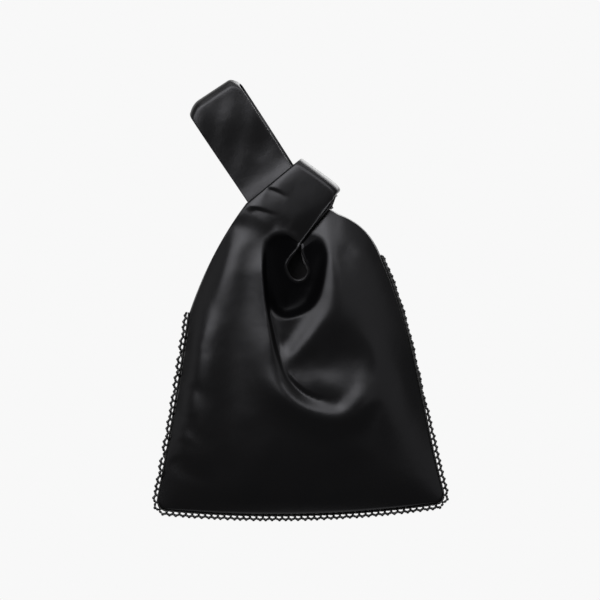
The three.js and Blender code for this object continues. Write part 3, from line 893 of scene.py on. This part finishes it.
def loop_top(c):
    """How far the strap reaches, which is less at its rounded corners."""
    left_start, left_width, left_drop = LEFT_TOP_CORNER
    right_start, right_width, right_drop = RIGHT_TOP_CORNER
    left = np.clip((left_start - c) / left_width, 0, 1)
    right = np.clip((c - right_start) / right_width, 0, 1)
    return LOOP_REACH + TOP_RISE - left_drop * left**2 - right_drop * right**2


def strap_swell(c, along):
    """How far the strap stands out from its plain shape, by the place across it and along it."""
    near_knot = KNOT_SWELL * np.exp(-(((along - SWELL_AT) / SWELL_LENGTH) ** 2))
    lean = LEAN_OUT * ease((along - LEAN_FROM) / LEAN_LENGTH) - LEAN_LEFT * c / LEAN_HALF
    long_wave = np.sin(along / 8 + 1.5 * np.sin(c / 9))
    short_wave = np.sin(along / 4.6 - c / 5 + 1)
    cross_wave = np.sin(c / 4.3 + along / 16)
    rumple = RUMPLES[0] * long_wave + RUMPLES[1] * short_wave + RUMPLES[2] * cross_wave
    leaning = lean * ease((along - SWELL_AT) / LEAN_RISE)
    return near_knot + leaning + rumple * ease((along - RUMPLE_FROM) / RUMPLE_RISE)


print("the strap reaches", loop_top(0.0), "mm out of the knot")

# %% [markdown]
# The strap itself is a flat section with round edges, carried along that hairpin. A curve with a bevel
# object could carry it too, but here every section can differ a little. The back lies slightly to the
# right, and the lining is a second, narrower strap inside.

# %% Long loop
LOOP_LOW = -24.0
FRONT_SHIFT = -0.6
BACK_SHIFT = 2.4
LEG_POINTS = 46
TURN_POINTS = 22
# The strap narrows towards the knot: to which share, from where and over which length
NARROW = 0.965
NARROW_FROM = -10
NARROW_LENGTH = 80
STRAP = 1.7
STRAP_LINING = 0.9
LINING_NARROWER = 1.2
LINING_INSIDE = 2.4


def flat_section(half, thick, across=26, turn=7):
    """A flat strip with round edges: places across it, and out of its middle, both round the section."""
    r = thick / 2
    straight = np.linspace(-(half - r), half - r, across)
    arc = np.linspace(np.pi / 2, -np.pi / 2, turn)[1:-1]
    c = np.r_[straight, half - r + r * np.cos(arc), straight[::-1], -(half - r) - r * np.cos(arc)]
    out = np.r_[np.full(across, r), r * np.sin(arc), np.full(across, -r), -r * np.sin(arc)]
    return c, out


def hairpin(name, half, thick, middle):
    """A strap over the hairpin, at a distance from the middle plane."""
    c, out = flat_section(half, thick)
    leg = np.linspace(0, 1, LEG_POINTS)[:-1]
    turn = np.linspace(0, np.pi, TURN_POINTS)
    count = 2 * len(leg) + len(turn)
    sections = np.zeros((count, len(c), 3))
    for k in range(count):
        top = loop_top(c) - LOOP_HALF
        if k < len(leg):
            along, angle, part = mix(LOOP_LOW, top, leg[k]), 0.0, 0.0
        elif k < len(leg) + len(turn):
            angle = turn[k - len(leg)]
            along, part = top, (1 - math.cos(angle)) / 2
        else:
            along, angle, part = mix(LOOP_LOW, top, leg[::-1][k - len(leg) - len(turn)]), np.pi, 1.0
        reach = middle + out
        swell_out = strap_swell(c, along) * abs(math.cos(angle))
        y = -(reach + swell_out) * math.cos(angle)
        z = along + reach * math.sin(angle)
        width = mix(NARROW, 1.0, ease((along - NARROW_FROM) / NARROW_LENGTH))
        shift = mix(FRONT_SHIFT, BACK_SHIFT + FRONT_SHIFT, ease(part))
        place = knot_point(c * width + shift, z)
        sections[k] = np.stack([place[..., 0], y, place[..., 1]], axis=-1)
    return sleeve(name, placed(sections))


long_loop = hairpin("long_loop", LOOP_WIDTH / 2, STRAP, LOOP_HALF - STRAP / 2)
lining_half = LOOP_WIDTH / 2 - LINING_NARROWER
long_loop_lining = hairpin("long_loop_lining", lining_half, STRAP_LINING, LOOP_HALF - LINING_INSIDE)

# %% [markdown]
# The root of the long loop gathers under the band, where the strap joins the right shoulder. It is two
# short strips, one in front and one behind, that crumple when the knot is eased. They could be the ends
# of the strap, but the roots go with the bag.

# %% Loop root
ROOT_HIGH = -24.6
KNOT_EASE = 12.0
ROOT_FRONT_LOW = -43.0
ROOT_BACK_LOW = -58.0
ROOT_STEPS = 12
# Half of the strip's width at its upper and its lower end, and how far its lower end lies to the right
ROOT_HALF = (22.0, 16.5)
ROOT_RIGHT = 8.0
ROOT_SLANT = 0.18
ROOT_RIPPLE = 0.5
ROOT_INSIDE = 2.3


def root_strip(name, side, low):
    """A short rippled strip from the neck of the loop to its lower end."""
    c, out = flat_section(1.0, 0.1)
    shares = np.linspace(0, 1, ROOT_STEPS)
    sections = np.zeros((len(shares), len(c), 3))
    for k, share in enumerate(shares):
        middle = mix(0.0, ROOT_RIGHT, share)
        half = mix(*ROOT_HALF, share)
        along = mix(ROOT_HIGH, low + ROOT_SLANT * half * c, share)
        ripple = ROOT_RIPPLE * np.sin(9 * c + 2) * math.sin(np.pi * share)
        place = knot_point(middle + half * c, along)
        y = side * (LOOP_HALF - ROOT_INSIDE + ripple + out * ROOT_HALF[0])
        sections[k] = np.stack([place[..., 0], y, place[..., 1]], axis=-1)
    return sleeve(name, placed(sections))


root_front = root_strip("loop_root_front", FRONT, ROOT_FRONT_LOW)
root_back = root_strip("loop_root_back", BACK, ROOT_BACK_LOW)

# %% [markdown]
# The edging follows the seams. So that thread and beads can be laid by a distance along it, the whole
# seam is one row of points with its length so far. An array along a curve could follow the seam too, but
# its copies would all be alike. Real picots twist, and along the right seam they turn back.

# %% Way along the seam
SIDE_STEPS = 120
TURN_STEPS = 20
LONG_STEPS = 160
# Two waves of twist: how far, how quick and from where
TWISTS = ((0.30, 0.23, 0), (0.22, 0.61, 1))
TWIST_LEAST = 0.35
TWIST_LEFT = 1.7
TURNED_BACK = 1.05
# Where the stronger twist on the left ends, where the turn on the right starts, and over which length
LEFT_ENDS = (120, 40)
RIGHT_STARTS = (420, 60)

seam_points = np.vstack([
    left_seam(np.linspace(0, 1, SIDE_STEPS))[:-1],
    left_turn(np.linspace(0, 1, TURN_STEPS))[:-1],
    bottom_seam(np.linspace(0, 1, LONG_STEPS))[:-1],
    right_turn(np.linspace(0, 1, TURN_STEPS))[:-1],
    right_seam(np.linspace(0, 1, LONG_STEPS)),
])
seam_run = np.r_[0, np.cumsum(np.linalg.norm(np.diff(seam_points, axis=0), axis=1))]
seam_length = seam_run[-1]


def beside_seam(distance, out, tilt=0.0):
    """A point beside the seam: how far along it, how far out, and its tilt out of the plane."""
    x, z = (np.interp(distance, seam_run, seam_points[:, k]) for k in (0, 1))
    ahead = np.array([np.interp(distance + 1, seam_run, seam_points[:, k]) for k in (0, 1)])
    after = np.array([np.interp(distance - 1, seam_run, seam_points[:, k]) for k in (0, 1)])
    way = (ahead - after) / np.linalg.norm(ahead - after)
    flat_out = way * out * math.cos(tilt)
    return np.array([x + flat_out[1], out * math.sin(tilt), z - flat_out[0]])


def picot_tilt(distance):
    """The picots twist, most of all on the left, and turn back along the right seam."""
    twist = sum(far * math.sin(distance * rate + start) for far, rate, start in TWISTS)
    left = 1 - ease((distance - LEFT_ENDS[0]) / LEFT_ENDS[1])
    turned = ease((distance - RIGHT_STARTS[0]) / RIGHT_STARTS[1])
    return twist * (TWIST_LEAST + TWIST_LEFT * left) + TURNED_BACK * turned


print("the edging is", seam_length.round(1), "mm long")

# %% [markdown]
# A picot is an arch of beads on the thread: a post bead that it shares with the next picot, a bead on
# either side of the arch, and a round bead at the tip. One picot could be an instance on points, but each
# is tilted and leans by itself. A bead has few faces, because it is repeated hundreds of times.

# %% Beaded edge
PITCH = 5.1
POST_OUT = 1.3
TIP_OUT = 3.9
TIP_BEAD = 1.4
TIP_LEAN = 0.5
TIP_LEAN_RATE = 0.9
# Radius and half length of the post and arch beads, and how far up its side an arch bead sits
POST_BEAD = (1.12, 1.4)
ARCH_BEAD = (1.08, 1.5)
ARCH_AT = 0.4
BEAD_SIDES = 8
BEAD_RINGS = 5


def add_bead(bm, centre, axis, radius, half_length):
    """A ball that is drawn out along an axis."""
    turn = Vector((0, 0, 1)).rotation_difference(Vector(axis)).to_matrix().to_4x4()
    size = Matrix.Diagonal((radius, radius, half_length, 1))
    matrix = Matrix.Translation(Vector(placed(centre))) @ turn @ Matrix.Scale(METRES, 4) @ size
    bmesh.ops.create_uvsphere(bm, u_segments=BEAD_SIDES, v_segments=BEAD_RINGS, radius=1, matrix=matrix)


def picots(name, start, end):
    """A run of picots between two distances along the seam, at a pitch that fits it evenly."""
    bm = bmesh.new()
    count = round((end - start) / PITCH)
    pitch = (end - start) / count
    for k in range(count):
        middle = start + (k + 0.5) * pitch
        tilt = picot_tilt(middle)
        lean = TIP_LEAN * math.sin(middle * TIP_LEAN_RATE)
        tip = beside_seam(middle + lean, TIP_OUT, tilt)
        for side in (-1, 1):
            post_end = beside_seam(middle + side * pitch * 0.5, POST_OUT + POST_BEAD[1], tilt)
            add_bead(bm, mix(post_end, tip, ARCH_AT), tip - post_end, *ARCH_BEAD)
        post = beside_seam(middle + pitch * 0.5, POST_OUT, tilt)
        add_bead(bm, post, post_end - post, *POST_BEAD)
        add_bead(bm, tip, (0, 1, 0), TIP_BEAD, TIP_BEAD)
    return add_object(name, bm)


# The runs part at the middle of each rounded corner
step_numbers = np.arange(len(seam_run))
corner_left = np.interp(SIDE_STEPS + (TURN_STEPS - 1) / 2, step_numbers, seam_run)
corner_right = np.interp(len(seam_run) - LONG_STEPS - TURN_STEPS // 2, step_numbers, seam_run)
beads_left = picots("beads_left", 0, corner_left)
beads_bottom = picots("beads_bottom", corner_left, corner_right)
beads_right = picots("beads_right", corner_right, seam_length)

# %% [markdown]
# The thread lies along the seam under the beads. It swells once in every pitch, because the stitches pull
# it in between. A curve with a round bevel would need a radius at each of its points, so it is a sleeve
# over small rings.

# %% Edging thread
THREAD = 0.75
THREAD_OUT = 0.5
THREAD_SIDES = 6
THREAD_SWELL = 0.25


def thread_ring(distance):
    """The points round the thread at a distance along the seam."""
    radius = THREAD * (1 + THREAD_SWELL * math.cos(2 * np.pi * distance / PITCH))
    angles = np.linspace(0, 2 * np.pi, THREAD_SIDES + 1)[:-1]
    return [
        beside_seam(distance, THREAD_OUT + radius * math.cos(a)) + [0, radius * math.sin(a), 0]
        for a in angles
    ]


thread_rings = np.array([thread_ring(distance) for distance in np.arange(0, seam_length, PITCH / 4)])
edging_thread = sleeve("edging_thread", placed(thread_rings))

# %% [markdown]
# Finishes are made of shader nodes. They could be linked by hand in the shader editor. Here a small class
# wraps a node's output, so that the maths between nodes is written as plain expressions.

# %% Finish helper


class Signal:
    """A value that flows between nodes."""

    def __init__(self, finish, socket):
        self.finish = finish
        self.socket = socket

    def math(self, operation, other):
        return self.finish.node("ShaderNodeMath", {"operation": operation}, {0: self, 1: other})

    def __add__(self, other):
        return self.math("ADD", other)

    def __mul__(self, other):
        return self.math("MULTIPLY", other)

    __radd__ = __add__
    __rmul__ = __mul__


class Finish:
    """The nodes of one material, or of the world."""

    def __init__(self, owner):
        self.owner = owner
        owner.use_nodes = True
        self.tree = owner.node_tree
        self.tree.nodes.clear()

    def node(self, kind, settings=None, inputs=None, output=0):
        made = self.tree.nodes.new(kind)
        for key, value in (settings or {}).items():
            setattr(made, key, value)
        for key, value in (inputs or {}).items():
            if isinstance(value, Signal):
                self.tree.links.new(value.socket, made.inputs[key])
            else:
                made.inputs[key].default_value = value
        return Signal(self, made.outputs[output]) if made.outputs else None

    def surface(self, shader):
        for_world = isinstance(self.owner, bpy.types.World)
        out = "ShaderNodeOutputWorld" if for_world else "ShaderNodeOutputMaterial"
        self.node(out, None, {"Surface": shader})
        return self.owner


# %% [markdown]
# Black satin is nearly black in itself. What shows is its sheen: long soft lights on the folds. An image
# could give the weave, but noise has no seams and no end. Stretched noise streaks the sheen along the
# threads, fine noise is the grain of crepe, and broad noise mottles the cloth as if it had been crushed.
# Where a panel was painted with shade, the sheen gives way to a dull black: painted shade that darkens the
# cave under the knot. The strap is the same cloth with its crepe side out.

# %% Satin and lining
# How far the painted shade turns the satin into a dull black
SHADE = 0.9
PATCH_SCALE = 26.0
THREAD_SCALE = (2400, 2400, 160)
CREPE_SCALE = 900.0
BUMP_HEIGHT = 0.001
# How far patches and threads change the roughness, and what keeps its mean where it was
PATCH_ROUGH = 0.1
THREAD_ROUGH = 0.06
MEAN_ROUGH = 0.08
SHEEN = 0.32
SHEEN_TINT = (0.94, 0.94, 1.0, 1)


def make_cloth(name, dark, light, rough, streak, grain, mottle):
    """A cloth: its two tones, its roughness, and how high its threads, grain and mottle stand."""
    finish = Finish(bpy.data.materials.new(name))
    place = finish.node("ShaderNodeTexCoord", output="Object")
    patches = finish.node("ShaderNodeTexNoise", None, {"Vector": place, "Scale": PATCH_SCALE, "Detail": 3.0})
    stretched = finish.node("ShaderNodeMapping", None, {"Vector": place, "Scale": THREAD_SCALE})
    threads = finish.node("ShaderNodeTexNoise", None, {"Vector": stretched, "Scale": 1.0, "Detail": 2.0})
    crepe = finish.node("ShaderNodeTexNoise", None, {"Vector": place, "Scale": CREPE_SCALE, "Detail": 2.0})
    colour = finish.node("ShaderNodeMix", {"data_type": "RGBA"}, {0: patches, 6: dark, 7: light}, output=2)
    rise = threads * streak + crepe * grain + patches * mottle
    bump = finish.node("ShaderNodeBump", None, {"Height": rise, "Strength": 1.0, "Distance": BUMP_HEIGHT})
    shader = finish.node("ShaderNodeBsdfPrincipled", None, {
        "Base Color": colour,
        "Roughness": patches * PATCH_ROUGH + (threads * THREAD_ROUGH + (rough - MEAN_ROUGH)),
        "Normal": bump,
        "Specular IOR Level": SHEEN,
        "Specular Tint": SHEEN_TINT,
    })
    # Painted shade: where a panel was painted with shade, the satin gives way to a dull black
    painted_shade = finish.node("ShaderNodeAttribute", {"attribute_name": "shade"}, output="Fac")
    dull = finish.node("ShaderNodeBsdfDiffuse", None, {"Color": dark})
    return finish.surface(finish.node("ShaderNodeMixShader", None, {0: painted_shade * SHADE, 1: shader, 2: dull}))


satin = make_cloth(
    "satin", dark=(0.0020, 0.0020, 0.0023, 1), light=(0.0030, 0.0028, 0.0028, 1),
    rough=0.32, streak=0.02, grain=0.01, mottle=0.6,
)
crepe = make_cloth(
    "crepe_satin", dark=(0.002, 0.002, 0.0022, 1), light=(0.0036, 0.0034, 0.0034, 1),
    rough=0.33, streak=0.02, grain=0.06, mottle=0.9,
)
plain_lining = make_cloth(
    "plain_lining", dark=(0.012, 0.012, 0.013, 1), light=(0.018, 0.017, 0.017, 1),
    rough=0.6, streak=0.04, grain=0.05, mottle=0.0,
)
print("cloths:", satin.name, crepe.name, plain_lining.name)

# %% [markdown]
# The beads are glossy black glass, and the thread between them is dull. The glass could let light
# through, but black beads show only what their surface mirrors, so a smooth black surface does.

# %% Beads and thread
CLOUD_SCALE = 420.0
CLOUD_ROUGH = 0.1


def make_gloss(name, colour, rough, speckle):
    finish = Finish(bpy.data.materials.new(name))
    place = finish.node("ShaderNodeTexCoord", output="Object")
    cloud = finish.node("ShaderNodeTexNoise", None, {"Vector": place, "Scale": CLOUD_SCALE, "Detail": 1.0})
    tint = finish.node("ShaderNodeMix", {"data_type": "RGBA"}, {0: cloud, 6: colour, 7: speckle}, output=2)
    roughness = cloud * CLOUD_ROUGH + rough
    shader = finish.node("ShaderNodeBsdfPrincipled", None, {"Base Color": tint, "Roughness": roughness})
    return finish.surface(shader)


jet = make_gloss("jet_beads", (0.002, 0.002, 0.0024, 1), 0.12, (0.004, 0.004, 0.0045, 1))
black_thread = make_gloss("black_thread", (0.004, 0.004, 0.004, 1), 0.6, (0.009, 0.009, 0.009, 1))
print("edging:", jet.name, black_thread.name)

# %% [markdown]
# Each piece gets its finish and stands for the CAD nodes that it replaces, and all pieces but the straps
# ride on the body of the bag. The long loop crosses the fold above the knot. Cut in two there, it would
# show a gap when it folds, so it stays one strap.

# %% Dress the frame
FOLD_HIGH = 39.0
FOLD_LOW = 21.0
LOOP_PARTS = ["crown", "bend_front", "bend_back", "neck_front", "neck_back"]


def dress(piece, material, nodes, body="bag"):
    """Gives a piece its finish, hides the CAD nodes it replaces, and puts it on a body if one is given."""
    piece.data.materials.append(material)
    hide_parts(*nodes)
    if body:
        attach(piece, body)


dress(bag_front, satin, ["front_panel"])
dress(bag_back, satin, ["back_panel"])
dress(lining_front, plain_lining, ["front_lining"])
dress(lining_back, plain_lining, ["back_lining"])
dress(root_front, satin, ["long_loop_root_front", "long_loop_root_front_lining"])
dress(root_back, satin, ["long_loop_root_back", "long_loop_root_back_lining"])
dress(beads_left, jet, ["beaded_edge_left"])
dress(beads_bottom, jet, ["beaded_edge_bottom"])
dress(beads_right, jet, ["beaded_edge_right"])
dress(edging_thread, black_thread, ["edging_cord"])


def on_middle(across, along):
    """A point of the knot on the middle plane of the bag, in metres of the frame."""
    x, z = knot_point(across, along)
    return tuple(placed([x, 0, z]))


STRAPS = [
    (long_loop, crepe, "satin", ""),
    (long_loop_lining, plain_lining, "lining", "_lining"),
]
for strap, material, slot, ending in STRAPS:
    dress(strap, material, [f"long_loop_{part}{ending}" for part in LOOP_PARTS], body=None)
    on_middle(0, FOLD_HIGH)
    on_middle(0, FOLD_LOW)
    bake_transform(strap)
print("the straps bend over", FOLD_HIGH - FOLD_LOW, "mm")

# %% [markdown]
# Each root gets a mesh of its own. When the knot moves up the loop, a root crumples towards its lower
# end; the share of its length that is left then is printed.

for piece, low in ((root_front, ROOT_FRONT_LOW), (root_back, ROOT_BACK_LOW)):
    left_over = 1 - KNOT_EASE / (ROOT_HIGH - low)
    on_middle(ROOT_RIGHT, low)
    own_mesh(piece)
    print(piece.name, "crumples to", round(left_over, 2), "of its length")

# %% [markdown]
# The camera looks straight at the front. A short lens close by would make the middle of the bag bulge, so
# it stands far away with a long lens.

# %% Camera
VIEW_WIDTH = 0.48
DISTANCE = 2.0
SENSOR = 36.0
view_centre = placed([-1.6, 0, 172.0])

camera = bpy.data.objects.new("camera", bpy.data.cameras.new("camera"))
camera.data.sensor_width = SENSOR
camera.data.lens = SENSOR * DISTANCE / VIEW_WIDTH
camera.location = Vector(view_centre) + Vector((0, -DISTANCE, 0))
camera.rotation_euler = (math.pi / 2, 0, 0)
bpy.context.collection.objects.link(camera)
bpy.context.scene.camera = camera
print("the lens is", round(camera.data.lens), "mm long")

# %% [markdown]
# Black cloth is drawn by what it mirrors, so the lamps are large and flat, and their places decide where
# each fold shines. A key on the left and one high in front make the long lights, a lamp overhead catches
# the upper edges, weak fills open the sides, and a key behind lights the back for a view from there.

# %% Lights
# Name, degrees to the right, degrees above level, distance, width, height, and how bright its face is
LAMPS = [
    ("left_key", -31, 26, 1.2, 0.84, 0.86, 3.6),
    ("top_key", 2, 43, 1.2, 1.24, 0.72, 3.0),
    ("overhead", 0, 85, 1.0, 1.2, 0.6, 1.2),
    ("right_fill", 48, 12, 1.2, 1.0, 1.3, 0.42),
    ("left_fill", -82, 5, 1.15, 0.5, 1.0, 0.4),
    ("back_key", 150, 38, 1.2, 0.8, 0.7, 3.0),
]


def softbox(name, azimuth, elevation, distance, width, height, radiance):
    """A flat lamp that faces the bag, by its direction: degrees to the right, and above level."""
    a, e = math.radians(azimuth), math.radians(elevation)
    way = Vector((math.sin(a) * math.cos(e), -math.cos(a) * math.cos(e), math.sin(e)))
    lamp = bpy.data.lights.new(name, "AREA")
    lamp.shape = "RECTANGLE"
    lamp.size, lamp.size_y = width, height
    lamp.energy = radiance * math.pi * width * height
    light = bpy.data.objects.new(name, lamp)
    light.location = Vector(view_centre) + way * distance
    light.rotation_euler = way.to_track_quat("Z", "Y").to_euler()
    bpy.context.collection.objects.link(light)


for settings in LAMPS:
    softbox(*settings)
print("lamps:", ", ".join(settings[0] for settings in LAMPS))

# %% [markdown]
# The bag hangs, so the floor is a disc far below it that shows only from above. A plain pale floor would
# end in a hard line against the backdrop. This one glows as brightly as the backdrop for the rays that
# show it, more towards its rim, and is a matt grey for all others.

# %% Floor
BACKGROUND = 0.939
FLOOR_DROP = 1.3
FLOOR_RADIUS = 0.5
FLOOR_GREY = (0.8, 0.8, 0.8, 1)
# The floor's glow grows from one share to the other between two distances from its middle
GLOW_SHARES = (0.55, 1.0)
GLOW_FROM = 0.1
GLOW_TO = 0.9 * FLOOR_RADIUS

floor_middle = (view_centre[0], 0, cad_box[0].z - FLOOR_DROP)
floor_mesh = bmesh.new()
bmesh.ops.create_circle(floor_mesh, cap_ends=True, segments=64, radius=FLOOR_RADIUS)
floor = add_object("floor", floor_mesh)
floor.data.transform(Matrix.Translation(floor_middle))


def seen_directly(finish):
    """1 for rays that show the background: from the camera, or by way of gloss or glass."""
    names = ("Is Camera Ray", "Is Glossy Ray", "Is Transmission Ray")
    camera_ray, gloss, glass = (finish.node("ShaderNodeLightPath", output=name) for name in names)
    return camera_ray, camera_ray.math("MAXIMUM", gloss).math("MAXIMUM", glass)


pale = Finish(bpy.data.materials.new("pale_floor"))
_, seen = seen_directly(pale)
spot = pale.node("ShaderNodeTexCoord", output="Object")
apart = pale.node(
    "ShaderNodeVectorMath", {"operation": "DISTANCE"}, {0: spot, 1: floor_middle}, output="Value"
)
far = pale.node(
    "ShaderNodeMapRange",
    {"interpolation_type": "SMOOTHSTEP"},
    {
        "Value": apart, "From Min": GLOW_FROM, "From Max": GLOW_TO,
        "To Min": GLOW_SHARES[0], "To Max": GLOW_SHARES[1],
    },
)
matt = pale.node("ShaderNodeBsdfDiffuse", None, {"Color": FLOOR_GREY})
glow = pale.node("ShaderNodeEmission", None, {"Color": (BACKGROUND,) * 3 + (1,), "Strength": 1.0})
both = pale.node("ShaderNodeMixShader", None, {0: seen * far, 1: matt, 2: glow})
floor.data.materials.append(pale.surface(both))

# %% [markdown]
# The pale ground of the photograph is the backdrop. A white world would light the bag from all sides and
# turn its blacks grey. So the world is bright for the camera, and for gloss and glass that mirror what is
# behind the bag, and dim for all other light.

# %% World
AMBIENT = 0.14
# The backdrop fades in between these shares of the way from the side to straight behind
BACKDROP_FROM = 0.3
BACKDROP_TO = 0.9

world = bpy.data.worlds.new("studio")
bpy.context.scene.world = world
sky = Finish(world)
camera_ray, seen = seen_directly(sky)
way = sky.node("ShaderNodeTexCoord", output="Generated")
back = sky.node("ShaderNodeSeparateXYZ", None, {"Vector": way}, output="Y")
behind_bag = sky.node(
    "ShaderNodeMapRange",
    {"interpolation_type": "SMOOTHSTEP"},
    {"Value": back, "From Min": BACKDROP_FROM, "From Max": BACKDROP_TO},
)
strength = camera_ray.math("MAXIMUM", seen * behind_bag) * (BACKGROUND - AMBIENT) + AMBIENT
sky.surface(sky.node("ShaderNodeBackground", None, {"Color": (1, 1, 1, 1), "Strength": strength}))
bpy.context.scene.view_settings.view_transform = "Standard"
print("the backdrop shows", BACKGROUND, "and lights the bag with", AMBIENT)
